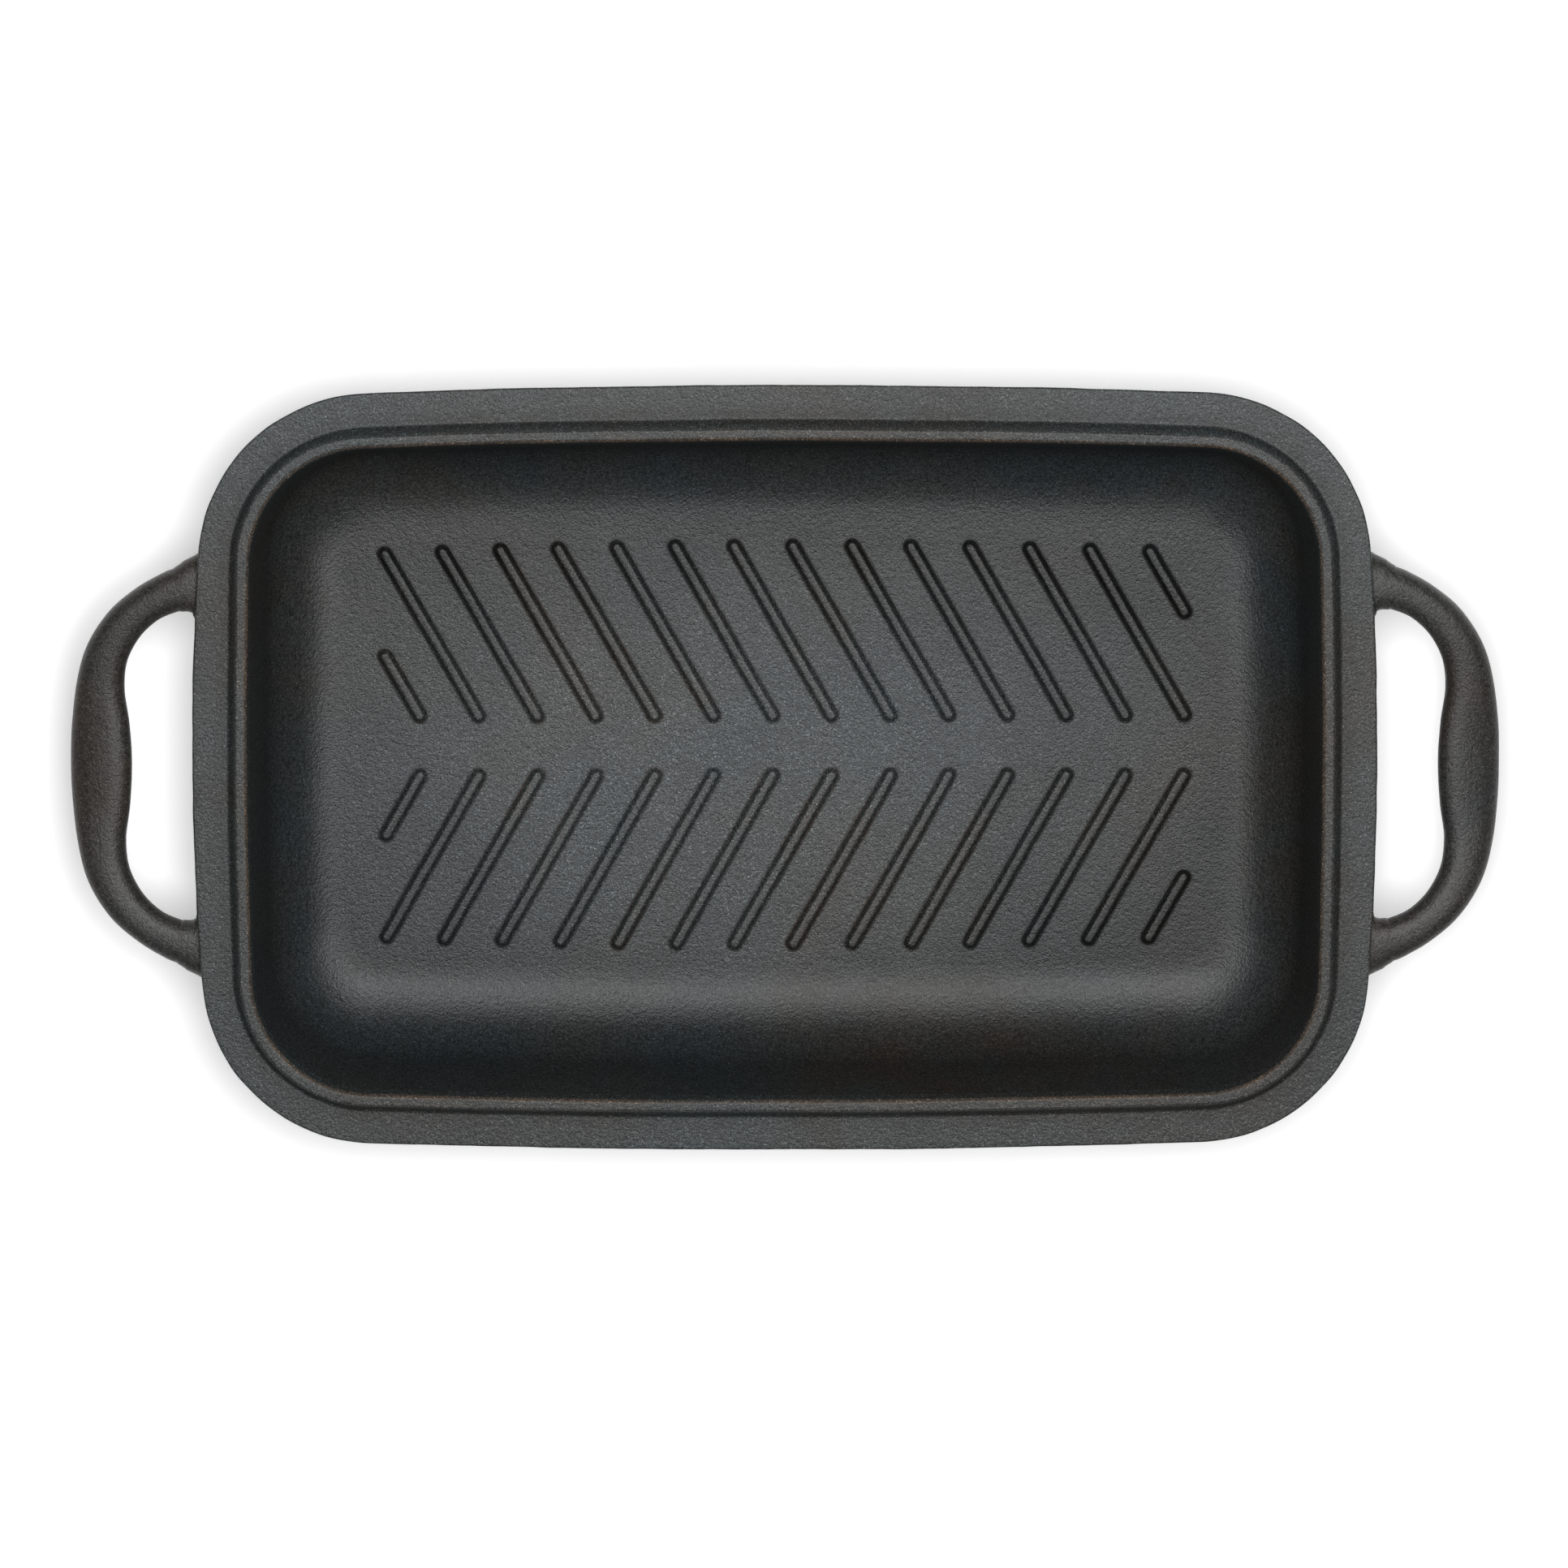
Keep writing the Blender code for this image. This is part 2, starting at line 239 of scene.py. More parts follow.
def add_piece(name, rings, node, material, hoop=False, seams=(), edge=None):
    """A closed piece skinned over rings of equal length, replacing a CAD node.

    Edges on seam rings stay sharp. edge holds how worn or darkened each ring is, the darkening partly
    painted shade, which the materials read.
    """
    count = len(rings[0])
    points = waved(np.vstack(rings))
    mesh = bmesh.new()
    darkening_and_wear = mesh.verts.layers.float.new("edge")
    verts = [mesh.verts.new(point) for point in points]
    for number, vert in enumerate(verts):
        vert[darkening_and_wear] = edge[number // count] if edge else 0.0
    pairs = list(zip(range(len(rings)), range(1, len(rings))))
    if hoop:
        pairs.append((len(rings) - 1, 0))
    else:
        mesh.faces.new(verts[count - 1 :: -1])
        mesh.faces.new(verts[-count:])
    for first, second in pairs:
        for i in range(count):
            j = (i + 1) % count
            corners = (first * count + i, first * count + j, second * count + j, second * count + i)
            mesh.faces.new([verts[c] for c in corners])
    seam_verts = {verts[number * count + i] for number in seams for i in range(count)}
    for line in mesh.edges:
        seam = line.verts[0] in seam_verts and line.verts[1] in seam_verts
        line.smooth = not seam and line.calc_face_angle(0) < SHARP_ANGLE
    bmesh.ops.remove_doubles(mesh, verts=mesh.verts, dist=SAME_POINT)
    bmesh.ops.dissolve_degenerate(mesh, edges=mesh.edges, dist=NO_LENGTH)
    bmesh.ops.recalc_face_normals(mesh, faces=mesh.faces)
    for face in mesh.faces:
        face.smooth = True
    data = bpy.data.meshes.new(name)
    mesh.to_mesh(data)
    mesh.free()
    data.materials.append(material)
    piece = bpy.data.objects.new(name, data)
    bpy.context.scene.collection.objects.link(piece)
    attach(piece, "root")
    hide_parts(node)


# ---------------------------------------------------------------- the casting's body

# The waves of the flange's uneven edge: how many times each goes round, about how deep they are together,
# and how far in from the edge they show.
NIBBLES = (31, 47, 74, 113)
NIBBLE_DEPTH = 0.00011
NIBBLE_BAND = 0.0035

# Above zero the iron is rubbed bare; below zero it is darker, which at the ribs' toes is painted shade.
# The flange: darker beside the lip and along the outermost edge, and a little dirt from a small way down its
# side.
LIP_SIDE_DARKENING = 0.7
LIP_SIDE_BAND = 0.0045
EDGE_BAND = 0.0009
FLANGE_DIRT = 0.15
FLANGE_SIDE_DEPTH = 0.0020
# The lip: darker at its foot and down the wall, bare iron on its inner edge, and a change with height
# between.
LIP_FOOT_DARKENING = 0.7
LIP_FOOT_BAND = 0.0002
CREST_WEAR = 2.0
CREST_BAND = 0.0008
LIP_WEAR_GAIN = 1.6
LIP_WEAR_START = 1.2
LIP_WALL_DARKENING = 0.3

# The seam between the tub and the flange, and where the hidden faces of both meet inside the wall.
WALL_SEAM_BELOW = 0.0045
HIDDEN_IN = 0.0028
HIDDEN_UP = 0.0030
# The tub's innermost ring is folded flat, just outside the line on which an outline would have no width.
FOLD_MARGIN = 0.0001


def nibble(points):
    """Moves a ring near the flange's outer edge inwards by a small uneven amount, as a fettled edge is."""
    reach = np.abs(points[:, 0]).max()
    share = np.clip((reach - FLANGE_HIGH.x + NIBBLE_BAND) / NIBBLE_BAND, 0, 1)
    round_it = np.arctan2(points[:, 1], points[:, 0])
    uneven = sum(np.sin(count * round_it + count) for count in NIBBLES) / len(NIBBLES)
    points[:, :2] *= (1 - share * NIBBLE_DEPTH * (1 + uneven) / reach)[:, None]


def flange_darkening(reach, height):
    """Darkening, strongest beside the lip and on the outermost edge."""
    by_lip = (reach - LIP_SEAM_REACH) / LIP_SIDE_BAND
    by_edge = (FLANGE_HIGH.x - reach) / EDGE_BAND
    if height < FLANGE_TOP - FLANGE_SIDE_DEPTH:
        return -FLANGE_DIRT
    return -max(FLANGE_DIRT, LIP_SIDE_DARKENING * (1 - by_lip), 1 - by_edge)


def lip_darkening_and_wear(reach, height):
    """Bare iron on the inner edge of the lip's crest, and darker at its foot and down the wall."""
    if reach > LIP_FOOT.half_length - LIP_FOOT_BAND:
        return -LIP_FOOT_DARKENING
    if reach < MOUTH.half_length + CREST_BAND and height > LIP_TOP - CREST_BAND:
        return CREST_WEAR
    climb = (height - FLANGE_TOP) / (LIP_TOP - FLANGE_TOP)
    return max(-LIP_WALL_DARKENING, climb * LIP_WEAR_GAIN - LIP_WEAR_START)


def make_body(body_iron, rim_iron):
    """The tub, the flange and the lip: one section round the pan, parted where it runs straight."""
    wall_seam_height = FLANGE_BOTTOM - WALL_SEAM_BELOW
    wall_seam = Vector((outer_wall_reach(wall_seam_height), wall_seam_height))
    mouth_seam = Vector((inner_wall_reach(FLANGE_TOP), FLANGE_TOP))
    lip_seam = Vector((LIP_SEAM_REACH, FLANGE_TOP))
    hidden = Vector((wall_seam.x - HIDDEN_IN, wall_seam_height + HIDDEN_UP))
    centre = FLOOR.half_length - FLOOR.half_width + FOLD_MARGIN

    flat_edge = FLOOR.half_length - FLAT_MARGIN
    outer_foot = outer_wall_reach(0.0)
    inner_foot = inner_wall_reach(FLOOR_TOP)
    outside = rounded(((flat_edge, 0.0, 0), (outer_foot, 0.0, OUTER_FILLET), (*wall_seam, 0)))
    inside = rounded(((*mouth_seam, 0), (inner_foot, FLOOR_TOP, INNER_FILLET), (flat_edge, FLOOR_TOP, 0)))
    outside = stepped(outside, WALL_STEP)
    inside = stepped(inside, WALL_STEP)
    base = stepped([Vector((centre, 0.0)), outside[0]], FLOOR_STEP)[:-1]
    floor = stepped([inside[-1], Vector((centre, FLOOR_TOP))], FLOOR_STEP)[1:]
    rings = [ring(*spot) for spot in base + outside + [hidden] + inside + floor]
    for end in (0, -1):
        rings[end][:, 1] = 0.0
    seam_at = len(base) + len(outside) - 1
    add_piece("tub", rings, "pan_tub", body_iron, seams=(seam_at, seam_at + 2))

    flange_foot = FLANGE_HIGH.x - (FLANGE_TOP - FLANGE_BOTTOM) * math.tan(FLANGE_DRAFT)
    line = rounded(
        (
            (*wall_seam, 0),
            (outer_wall_reach(FLANGE_BOTTOM), FLANGE_BOTTOM, UNDER_FLANGE_FILLET),
            (flange_foot, FLANGE_BOTTOM, FLANGE_LOWER_ROUND),
            (FLANGE_HIGH.x, FLANGE_TOP, FLANGE_UPPER_ROUND),
            (*lip_seam, 0),
        )
    )
    line = stepped(line, RIM_STEP)
    rings = [ring(*spot) for spot in line] + [ring(*hidden)]
    for points in rings:
        nibble(points)
    darkening_and_wear = [flange_darkening(*spot) for spot in line] + [0.0]
    seams = (0, len(line) - 1)
    add_piece("rim", rings, "rim_flange", rim_iron, hoop=True, seams=seams, edge=darkening_and_wear)

    line = rounded(
        (
            (*lip_seam, 0),
            (LIP_FOOT.half_length, FLANGE_TOP, LIP_FOOT_FILLET),
            (LIP_CREST.half_length, LIP_TOP, LIP_OUTER_ROUND),
            (MOUTH.half_length, LIP_TOP, LIP_INNER_ROUND),
            (*mouth_seam, 0),
        )
    )
    line = stepped(line, LIP_STEP)
    rings = [ring(*spot) for spot in line] + [ring(*hidden)]
    darkening_and_wear = [lip_darkening_and_wear(*spot) for spot in line] + [0.0]
    seams = (0, len(line) - 1)
    add_piece("lip", rings, "locating_lip", rim_iron, hoop=True, seams=seams, edge=darkening_and_wear)


# ---------------------------------------------------------------- ribs

RIB_SLANT = math.radians(60.6)
# How far a rib's end reaches past the centre of its round tip.
RIB_TIP = 0.0022
# Half of a rib's section, from the floor beside it up to the crown.
RIB_HEIGHT = 0.0016
RIB_SHOULDER = 0.00100
RIB_TOE = 0.00200
RIB_FOOT_REACH = 0.00265
RIB_SHOULDER_ROUND = 0.0007
RIB_TOE_FILLET = 0.0011
RIB_CROWN = 0.00006
RIB_SIDE_STEP = 0.0022
RIB_END_STEPS = 14
RIBS_IN_ROW = 15
# A rib has painted shade at its toe, and lightens with height to a little worn iron on its crown.
RIB_SHADE_AND_WEAR_GAIN = 1.9
RIB_TOE_SHADE = 1.5
# How far a rib goes down into the floor, and how far its toe stands proud, so that neither shows through
# the other.
RIB_SINK = 0.0003
RIB_PROUD = 0.00001


def rib_ring(start, end, offset, height):
    """A round-ended ring at a distance from the line between the centres of the rib's ends."""
    along = (end - start).normalized()
    across = Vector((-along.y, along.x))
    count = math.ceil((end - start).length / RIB_SIDE_STEP)
    spots = []
    for centre, other, turn in ((end, start, -90), (start, end, 90)):
        for i in range(RIB_END_STEPS + 1):
            angle = math.radians(turn + 180 * i / RIB_END_STEPS)
            spots.append(centre + offset * (along * math.cos(angle) + across * math.sin(angle)))
        side = across * offset * (1 if turn == -90 else -1)
        spots += [centre.lerp(other, i / count) + side for i in range(1, count)]
    return np.array([(spot.x, spot.y, height) for spot in spots])


def make_ribs(material):
    section = rounded(
        (
            (RIB_FOOT_REACH, -RIB_SINK, 0),
            (RIB_FOOT_REACH, RIB_PROUD, 0),
            (RIB_TOE, RIB_PROUD, RIB_TOE_FILLET),
            (RIB_SHOULDER, RIB_HEIGHT - RIB_CROWN, RIB_SHOULDER_ROUND),
            (RIB_SHOULDER / 4, RIB_HEIGHT, 0),
        )
    )
    # Painted shade at the rib's toe, giving way with height to a little worn iron on the crown.
    darkening_and_wear = [RIB_SHADE_AND_WEAR_GAIN * spot.y / RIB_HEIGHT - RIB_TOE_SHADE for spot in section]
    for row, side in (("upper", 1), ("lower", -1)):
        for number in range(1, RIBS_IN_ROW + 1):
            node = f"{row}_rib_{number:02d}"
            low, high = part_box(node)
            along = Vector((-math.cos(RIB_SLANT), side * math.sin(RIB_SLANT)))
            start = Vector((high.x - RIB_TIP, (low.y if side > 0 else high.y) + side * RIB_TIP))
            end = Vector((low.x + RIB_TIP, (high.y if side > 0 else low.y) - side * RIB_TIP))
            rings = [rib_ring(start, end, offset, FLOOR_TOP + height) for offset, height in section]
            add_piece(f"{node}_iron", rings, node, material, edge=darkening_and_wear)


# ---------------------------------------------------------------- handles

# Right handle: stations from the middle of the grip to inside the flange, each with the centre of the
# section, its width in plan, its thickness, and how far it leans in degrees, outer side down.
HANDLE_STATIONS = (
    (0.1907, 0.0000, 0.0325, 0.0170, 0.0090, 11),
    (0.1908, 0.0110, 0.0325, 0.0160, 0.0090, 11),
    (0.1908, 0.0216, 0.0328, 0.0135, 0.0092, 8),
    (0.1889, 0.0312, 0.0333, 0.0121, 0.0094, 4),
    (0.1841, 0.0397, 0.0340, 0.0112, 0.0094, 0),
    (0.1776, 0.0457, 0.0346, 0.0107, 0.0092, 0),
    (0.1712, 0.0491, 0.0351, 0.0115, 0.0090, 0),
    (0.1682, 0.0500, 0.0353, 0.0126, 0.0090, 0),
    (0.1662, 0.0505, 0.0353, 0.0144, 0.0092, 0),
    (0.1648, 0.0507, 0.0352, 0.0166, 0.0094, 0),
    (0.1620, 0.0507, 0.0350, 0.0205, 0.0100, 0),
)
HANDLE_STEPS = 9
HANDLE_SECTION_STEPS = 44
SECTION_SQUARENESS = 2.5


def spline_through(points, steps):
    """A Catmull-Rom curve through the points."""
    points = [np.array(p, float) for p in points]
    padded = [2 * points[0] - points[1]] + points + [2 * points[-1] - points[-2]]
    curve = []
    for p0, p1, p2, p3 in zip(padded, padded[1:], padded[2:], padded[3:]):
        for i in range(steps):
            t = i / steps
            bend = (2 * p0 - 5 * p1 + 4 * p2 - p3) * t**2 + (3 * p1 - p0 - 3 * p2 + p3) * t**3
            curve.append(0.5 * (2 * p1 + (p2 - p0) * t + bend))
    curve.append(points[-1])
    return curve


def make_handle(name, end, material):
    half = [np.array(station) for station in HANDLE_STATIONS]
    mirrored = [station * (1, -1, 1, 1, 1, 1) for station in reversed(half[1:])]
    curve = spline_through(mirrored + half, HANDLE_STEPS)
    angles = 2 * math.pi * np.arange(HANDLE_SECTION_STEPS) / HANDLE_SECTION_STEPS
    power = 2 / SECTION_SQUARENESS
    flat = np.copysign(np.abs(np.cos(angles)) ** power, np.cos(angles)) / 2
    rise = np.copysign(np.abs(np.sin(angles)) ** power, np.sin(angles)) / 2
    rings = []
    for before, here, after in zip([curve[0]] + curve, curve, curve[1:] + [curve[-1]]):
        ahead = Vector(after[:2] - before[:2]).normalized()
        lean = math.radians(here[5])
        across = np.array((ahead.y, -ahead.x, -math.tan(lean)))
        up = np.array((ahead.y * math.sin(lean), -ahead.x * math.sin(lean), math.cos(lean)))
        rings.append(here[:3] + np.outer(flat * here[3], across) + np.outer(rise * here[4], up))
    if end < 0:
        rings = [points * (-1, 1, 1) for points in rings]
    add_piece(f"{name}_iron", rings, name, material)


# ---------------------------------------------------------------- materials

class Nodes:
    """A material's node tree, with short calls for the nodes used here."""

    def __init__(self, name):
        self.material = bpy.data.materials.new(name)
        self.material.use_nodes = True
        self.tree = self.material.node_tree
        self.shader = self.tree.nodes["Principled BSDF"]
        self.place = self.add("ShaderNodeTexCoord").outputs["Object"]

    def add(self, kind, **settings):
        node = self.tree.nodes.new(kind)
        for key, value in settings.items():
            setattr(node, key, value)
        return node

    def put(self, socket, value):
        if isinstance(value, bpy.types.NodeSocket):
            self.tree.links.new(value, socket)
        else:
            socket.default_value = value

    def noise(self, scale, detail=2.0, roughness=0.5, distortion=0.0):
        node = self.add("ShaderNodeTexNoise")
        self.put(node.inputs["Vector"], self.place)
        node.inputs["Scale"].default_value = scale
        node.inputs["Detail"].default_value = detail
        node.inputs["Roughness"].default_value = roughness
        node.inputs["Distortion"].default_value = distortion
        return node.outputs["Fac"]

    def granules(self, scale):
        """Rounded grains, high in their middles."""
        node = self.add("ShaderNodeTexVoronoi")
        self.put(node.inputs["Vector"], self.place)
        node.inputs["Scale"].default_value = scale
        return self.math("SUBTRACT", 1.0, node.outputs["Distance"])

    def ranged(self, value, low, high, to_low=0.0, to_high=1.0):
        node = self.add("ShaderNodeMapRange")
        self.put(node.inputs["Value"], value)
        self.put(node.inputs["From Min"], low)
        self.put(node.inputs["From Max"], high)
        self.put(node.inputs["To Min"], to_low)
        self.put(node.inputs["To Max"], to_high)
        return node.outputs["Result"]

    def math(self, operation, first, second=0.0):
        node = self.add("ShaderNodeMath", operation=operation)
        self.put(node.inputs[0], first)
        self.put(node.inputs[1], second)
        return node.outputs[0]

    def mix(self, amount, first, second):
        node = self.add("ShaderNodeMix", data_type="RGBA")
        self.put(node.inputs["Factor"], amount)
        self.put(node.inputs["A"], first)
        self.put(node.inputs["B"], second)
        return node.outputs["Result"]

    def bump(self, height, distance, below=None):
        node = self.add("ShaderNodeBump")
        self.put(node.inputs["Height"], height)
        node.inputs["Distance"].default_value = distance
        node.inputs["Strength"].default_value = 1.0
        if below is not None:
            self.put(node.inputs["Normal"], below)
        return node.outputs["Normal"]


# Rubbed iron, a dark tone for darkened iron, which at the ribs' toes is painted shade, and burnt-on residue.
WORN = (0.054, 0.039, 0.028)
DIRT_AND_SHADE = (0.0140, 0.0090, 0.0060)
RESIDUE = (0.0235, 0.0180, 0.0138)
# The patches of residue on the walls: place in plan and reach. They are all centred at one height.
STAINS = ((0.048, -0.093, 0.054), (0.137, 0.068, 0.030))
STAIN_HEIGHT = 0.030
STAIN_CORE = 0.4
# How far inside and outside the floor's edge its own tone fades.
FADE_IN_X = 0.004
FADE_IN_Y = 0.002
FADE_OUT = 0.003
# The middle of the pool of light painted on the floor, and how far it spreads along and across the pan
# before it fades to painted shade in the corners.
POOL_X = -0.018
POOL_Y = -0.008
POOL_LENGTH = 0.195
POOL_WIDTH = 0.090
POOL_END = 0.62
POOL_BRIGHTEST = 1.8
POOL_CORNER_SHADE = 0.35

# Cells or waves per metre of each texture, from the finest.
GRAIN_SCALE = 3000
GLINT_SCALE = 2300
SAND_SCALE = 1500
PEBBLE_SCALE = 900
MOTTLE_SCALE = 60
RESIDUE_SCALE = 40
POOL_SCALE = 22
PATCH_SCALE = 14
STAIN_SCALE = 11
# How far each texture's bumps rise, in metres.
PEBBLE_RISE = 0.00015
SAND_RISE = 0.00005
GRAIN_RISE = 0.00009
# The usual spread of a noise's values.
SPREAD = (0.3, 0.7)


def on_floor(nodes):
    """1 on the floor of the pan, falling to 0 just outside its edge and on the underside."""
    apart = nodes.add("ShaderNodeSeparateXYZ")
    nodes.put(apart.inputs[0], nodes.place)
    x = nodes.math("ABSOLUTE", apart.outputs["X"])
    y = nodes.math("ABSOLUTE", apart.outputs["Y"])
    along = nodes.ranged(x, FLOOR.half_length - FADE_IN_X, FLOOR.half_length + FADE_OUT, 1.0, 0.0)
    across = nodes.ranged(y, FLOOR.half_width - FADE_IN_Y, FLOOR.half_width + FADE_OUT, 1.0, 0.0)
    above = nodes.ranged(apart.outputs["Z"], FLOOR_TOP / 2, FLOOR_TOP * 0.8, 0.0, 1.0)
    return nodes.math("MULTIPLY", nodes.math("MULTIPLY", along, across), above)


def painted_light_pool(nodes, inside):
    """The gain in lightness on the floor of the pan: a painted pool of light near the middle and painted
    shade in the corners.
    """
    apart = nodes.add("ShaderNodeSeparateXYZ")
    nodes.put(apart.inputs[0], nodes.place)
    spread = nodes.ranged(nodes.noise(POOL_SCALE, 3.0, 0.6), *SPREAD, -0.10, 0.10)
    for axis, middle, reach in (("X", POOL_X, POOL_LENGTH), ("Y", POOL_Y, POOL_WIDTH)):
        share = nodes.math("DIVIDE", nodes.math("SUBTRACT", apart.outputs[axis], middle), reach)
        spread = nodes.math("ADD", spread, nodes.math("MULTIPLY", share, share))
    gain = nodes.ranged(spread, 0.0, POOL_END, POOL_BRIGHTEST, POOL_CORNER_SHADE)
    return nodes.math("ADD", 1.0, nodes.math("MULTIPLY", nodes.math("SUBTRACT", gain, 1.0), inside))


def stains(nodes):
    """Brown residue: a broad patch on the lower wall and a small one in the upper right corner."""
    cloud = nodes.ranged(nodes.noise(RESIDUE_SCALE, 5.0, 0.65), 0.36, 0.60, 0.0, 0.9)
    total = 0.0
    for x, y, reach in STAINS:
        apart = nodes.add("ShaderNodeVectorMath", operation="DISTANCE")
        nodes.put(apart.inputs[0], nodes.place)
        apart.inputs[1].default_value = (x, y, STAIN_HEIGHT)
        patch = nodes.ranged(apart.outputs["Value"], reach * STAIN_CORE, reach, 1.0, 0.0)
        total = nodes.math("ADD", total, patch)
    return nodes.math("MULTIPLY", total, cloud)


def iron(name, colour, warm, warmth, roughness, specular, glint_paint, floor=False):
    """Bare cast iron: pebbly skin, sand grain, small light spots painted in as glints, brown patches,
    residue, dirt, painted shade, worn iron and, on the floor, a painted pool of light.
    """
    nodes = Nodes(name)
    sand = nodes.granules(SAND_SCALE)
    grain = nodes.noise(GRAIN_SCALE, 2.0, 0.6)
    pebble = nodes.noise(PEBBLE_SCALE, 2.0, 0.6)
    mottle = nodes.noise(MOTTLE_SCALE, 5.0, 0.65)
    patches = nodes.noise(PATCH_SCALE, 4.0, 0.6, 0.4)
    edge = nodes.add("ShaderNodeAttribute", attribute_name="edge").outputs["Fac"]

    pebble_tone = nodes.ranged(pebble, *SPREAD, 0.62, 1.08)
    sand_tone = nodes.ranged(sand, 0.3, 0.9, -0.20, 0.40)
    tone = nodes.math("ADD", pebble_tone, sand_tone)
    tone = nodes.math("MULTIPLY", tone, nodes.ranged(mottle, *SPREAD, 0.90, 1.10))
    # Painted highlight: small light spots added to the colour as glints off tiny facets, half as strong off
    # the floor.
    painted_glints = nodes.ranged(nodes.noise(GLINT_SCALE, 1.0, 0.5), 0.60, 0.72, 0.0, glint_paint)
    stain = nodes.ranged(nodes.noise(STAIN_SCALE, 5.0, 0.65, 0.6), 0.54, 0.66, 0.0, 0.4)
    if floor:
        inside = on_floor(nodes)
        painted_glints = nodes.math("MULTIPLY", painted_glints, nodes.ranged(inside, 0.0, 1.0, 0.5, 1.0))
        stain = nodes.math("MAXIMUM", stain, stains(nodes))
        stain = nodes.math("MULTIPLY", stain, nodes.math("SUBTRACT", 1.0, inside))
    tone = nodes.math("ADD", tone, painted_glints)
    if floor:
        # Painted light on the floor: a pool of light near the middle, and painted shade in the corners.
        tone = nodes.math("MULTIPLY", tone, painted_light_pool(nodes, inside))

    broken = nodes.ranged(mottle, 0.38, 0.62, 0.2, 0.8)
    broken = nodes.math("MULTIPLY", broken, nodes.ranged(patches, 0.35, 0.60, 0.25, 1.0))
    bare = nodes.math("MULTIPLY", nodes.ranged(edge, 0.0, 1.0), broken)
    bare = nodes.math("ADD", bare, nodes.ranged(edge, 1.0, 2.0, 0.0, 0.4))
    # Where edge is below zero the iron darkens; at the ribs' toes this is painted shade.
    dirt_and_shade = nodes.math("MULTIPLY", nodes.ranged(edge, 0.0, -1.0), broken)
    base = nodes.mix(nodes.ranged(patches, 0.44, 0.68, 0.0, warmth), (*colour, 1), (*warm, 1))
    for amount, laid in ((stain, RESIDUE), (bare, WORN), (dirt_and_shade, DIRT_AND_SHADE)):
        base = nodes.mix(amount, base, (*laid, 1))
    scaled = nodes.add("ShaderNodeVectorMath", operation="SCALE")
    nodes.put(scaled.inputs[0], base)
    nodes.put(scaled.inputs["Scale"], tone)
    nodes.put(nodes.shader.inputs["Base Color"], scaled.outputs[0])

    rough = nodes.ranged(pebble, *SPREAD, roughness - 0.05, roughness + 0.05)
    rough = nodes.math("ADD", rough, nodes.ranged(nodes.math("ABSOLUTE", edge), 0.0, 1.0, 0.0, 0.10))
    rough = nodes.math("ADD", rough, nodes.math("MULTIPLY", stain, 0.05))
    nodes.put(nodes.shader.inputs["Roughness"], rough)
    nodes.shader.inputs["Specular IOR Level"].default_value = specular
    normal = nodes.bump(pebble, PEBBLE_RISE)
    normal = nodes.bump(sand, SAND_RISE, below=normal)
    normal = nodes.bump(grain, GRAIN_RISE, below=normal)
    nodes.put(nodes.shader.inputs["Normal"], normal)
    return nodes.material


# ---------------------------------------------------------------- studio

# One soft key light hangs between the pan and the camera, and looks at a point inside the pan.
KEY_LEAN = math.radians(9.2)
KEY_SIDE = 0.045
KEY_DISTANCE = 1.6
KEY_SIZE = 1.1
KEY_POWER = 31
KEY_TARGET = (0, 0, 0.02)
# The paper lies a little below the pan's base, and is just bright enough to look white.
PAPER_REACH = 60.0
PAPER_DROP = 0.0002
PAPER_GLOW = 0.34
PAPER = (0.9, 0.9, 0.9, 1)
PAPER_SPECKLE = (0.91, 0.91, 0.91, 1)
# The world is dim overhead and bright low down, and looks pale where the view goes past the paper.
HORIZON_HEIGHT = 0.04
DOME_HEIGHT = 0.16
HORIZON_GLOW = 0.95
DOME_GLOW = 0.02
BACKDROP = 0.8
# The camera looks down from the +Y side. It aims a little beside and below the middle of the flange's top.
CAMERA_TILT = math.radians(10.95)
CAMERA_ROLL = -0.0015
CAMERA_DISTANCE = 4.2
FRAME_WIDTH = 0.4365
AIM_BESIDE = -0.00027
AIM_BELOW = 0.0040
SENSOR = 36.0


def make_key():
    data = bpy.data.lights.new("key_softbox", "AREA")
    data.shape = "DISK"
    data.size = KEY_SIZE
    data.energy = KEY_POWER
    light = bpy.data.objects.new("key_softbox", data)
    light.location = Vector((KEY_SIDE, math.sin(KEY_LEAN), math.cos(KEY_LEAN))) * KEY_DISTANCE
    light.rotation_euler = (Vector(KEY_TARGET) - light.location).to_track_quat("-Z", "Y").to_euler()
    bpy.context.scene.collection.objects.link(light)


def make_floor():
    """Pale paper that shows from above only, so that the pan's underside can be looked at from below."""
    data = bpy.data.meshes.new("studio_floor")
    signs = ((-1, -1), (1, -1), (1, 1), (-1, 1))
    corners = [(x * PAPER_REACH, y * PAPER_REACH, -PAPER_DROP) for x, y in signs]
    data.from_pydata(corners, [], [(0, 1, 2, 3)])
    nodes = Nodes("studio_paper")
    nodes.put(nodes.shader.inputs["Base Color"], nodes.mix(nodes.noise(300), PAPER, PAPER_SPECKLE))
    nodes.shader.inputs["Roughness"].default_value = 0.9
    nodes.shader.inputs["Specular IOR Level"].default_value = 0.1
    nodes.shader.inputs["Emission Color"].default_value = (1, 1, 1, 1)
    nodes.shader.inputs["Emission Strength"].default_value = PAPER_GLOW
    clear = nodes.add("ShaderNodeBsdfTransparent")
    sided = nodes.add("ShaderNodeMixShader")
    nodes.put(sided.inputs[0], nodes.add("ShaderNodeNewGeometry").outputs["Backfacing"])
    nodes.put(sided.inputs[1], nodes.shader.outputs[0])
    nodes.put(sided.inputs[2], clear.outputs[0])
    nodes.put(nodes.tree.nodes["Material Output"].inputs["Surface"], sided.outputs[0])
    data.materials.append(nodes.material)
    floor = bpy.data.objects.new("studio_floor", data)
    bpy.context.scene.collection.objects.link(floor)


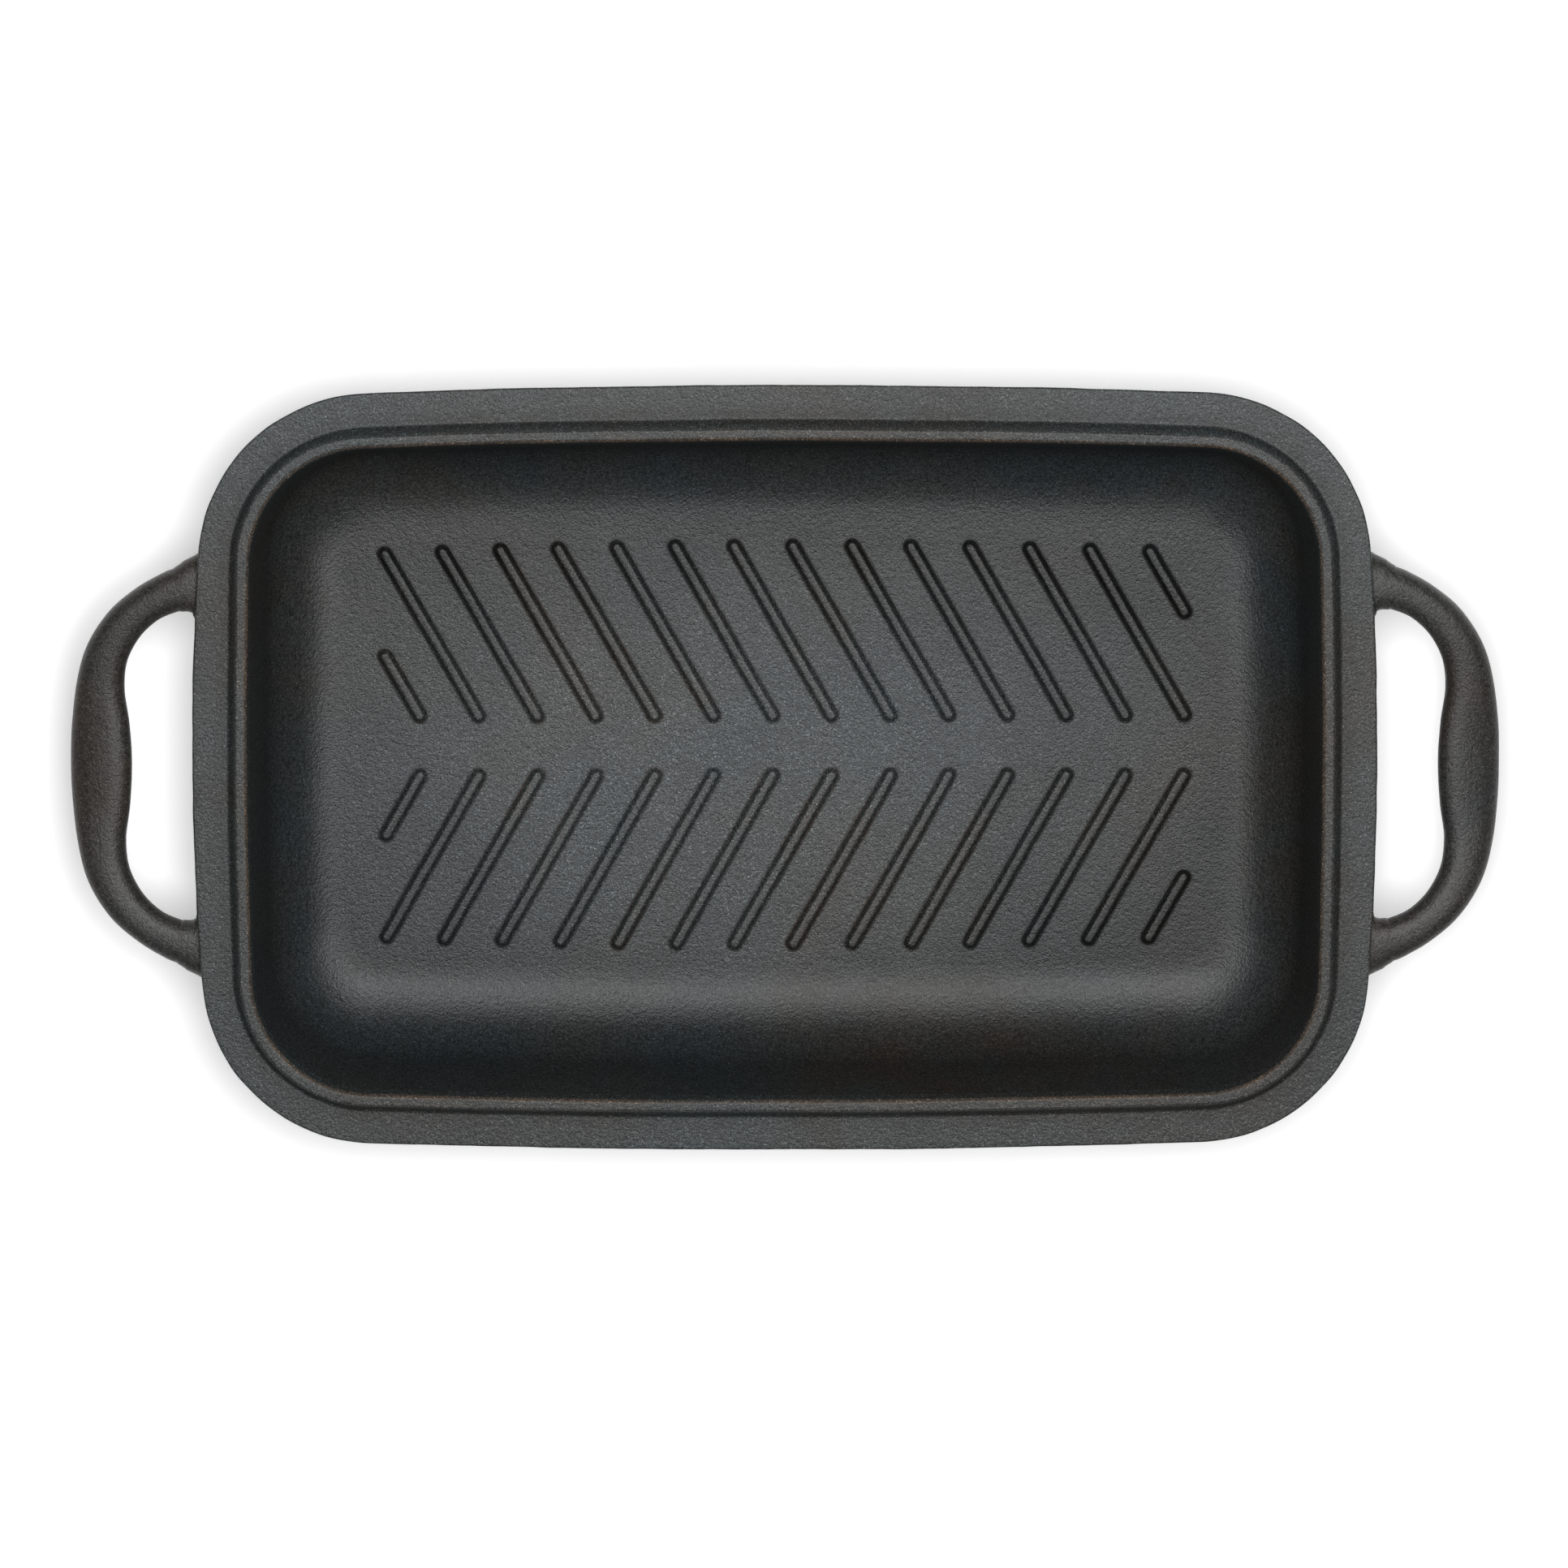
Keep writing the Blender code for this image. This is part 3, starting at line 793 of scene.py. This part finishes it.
def make_world():
    world = bpy.data.worlds.new("studio")
    world.use_nodes = True
    tree = world.node_tree
    place = tree.nodes.new("ShaderNodeTexCoord")
    apart = tree.nodes.new("ShaderNodeSeparateXYZ")
    glow = tree.nodes.new("ShaderNodeMapRange")
    tree.links.new(place.outputs["Generated"], apart.inputs[0])
    tree.links.new(apart.outputs["Z"], glow.inputs["Value"])
    glow.inputs["From Min"].default_value = HORIZON_HEIGHT
    glow.inputs["From Max"].default_value = DOME_HEIGHT
    glow.inputs["To Min"].default_value = HORIZON_GLOW
    glow.inputs["To Max"].default_value = DOME_GLOW
    seen = tree.nodes.new("ShaderNodeLightPath")
    strength = tree.nodes.new("ShaderNodeMix")
    tree.links.new(seen.outputs["Is Camera Ray"], strength.inputs["Factor"])
    tree.links.new(glow.outputs["Result"], strength.inputs["A"])
    strength.inputs["B"].default_value = BACKDROP
    background = tree.nodes["Background"]
    tree.links.new(strength.outputs["Result"], background.inputs["Strength"])
    background.inputs["Color"].default_value = (1, 1, 1, 1)
    bpy.context.scene.world = world


def make_camera():
    away = Vector((0, math.sin(CAMERA_TILT), math.cos(CAMERA_TILT)))
    up = Vector((0, math.cos(CAMERA_TILT), -math.sin(CAMERA_TILT)))
    aim = Vector((AIM_BESIDE, 0, FLANGE_TOP)) - up * AIM_BELOW
    data = bpy.data.cameras.new("camera")
    data.sensor_width = SENSOR
    data.lens = SENSOR * CAMERA_DISTANCE / FRAME_WIDTH
    data.clip_end = 100
    camera = bpy.data.objects.new("camera", data)
    camera.location = aim + away * CAMERA_DISTANCE
    turn = Euler((-CAMERA_TILT, 0, 0)).to_matrix() @ Euler((0, 0, CAMERA_ROLL)).to_matrix()
    camera.rotation_euler = turn.to_euler()
    bpy.context.scene.collection.objects.link(camera)
    bpy.context.scene.camera = camera


def make_studio():
    bpy.context.scene.view_settings.view_transform = "Standard"
    bpy.context.scene.view_settings.look = "None"
    make_floor()
    make_world()
    make_key()
    make_camera()


BODY_COLOUR = (0.0194, 0.0236, 0.0252)
body_iron = iron(
    "body_iron",
    colour=BODY_COLOUR,
    warm=(0.030, 0.0240, 0.0185),
    warmth=0.4,
    roughness=0.385,
    specular=0.345,
    glint_paint=3.4,
    floor=True,
)
rim_iron = iron(
    "rim_iron",
    colour=(0.0248, 0.0310, 0.0326),
    warm=(0.036, 0.0305, 0.0240),
    warmth=0.35,
    roughness=0.40,
    specular=0.35,
    glint_paint=3.4,
)
rib_iron = iron(
    "rib_iron",
    colour=BODY_COLOUR,
    warm=(0.029, 0.0240, 0.0190),
    warmth=0.3,
    roughness=0.385,
    specular=0.345,
    glint_paint=3.4,
    floor=True,
)
handle_iron = iron(
    "handle_iron",
    colour=(0.0250, 0.0262, 0.0255),
    warm=(0.033, 0.0255, 0.0190),
    warmth=0.65,
    roughness=0.42,
    specular=0.36,
    glint_paint=2.0,
)

make_body(body_iron, rim_iron)
make_ribs(rib_iron)
make_handle("right_handle", 1, handle_iron)
make_handle("left_handle", -1, handle_iron)
make_studio()
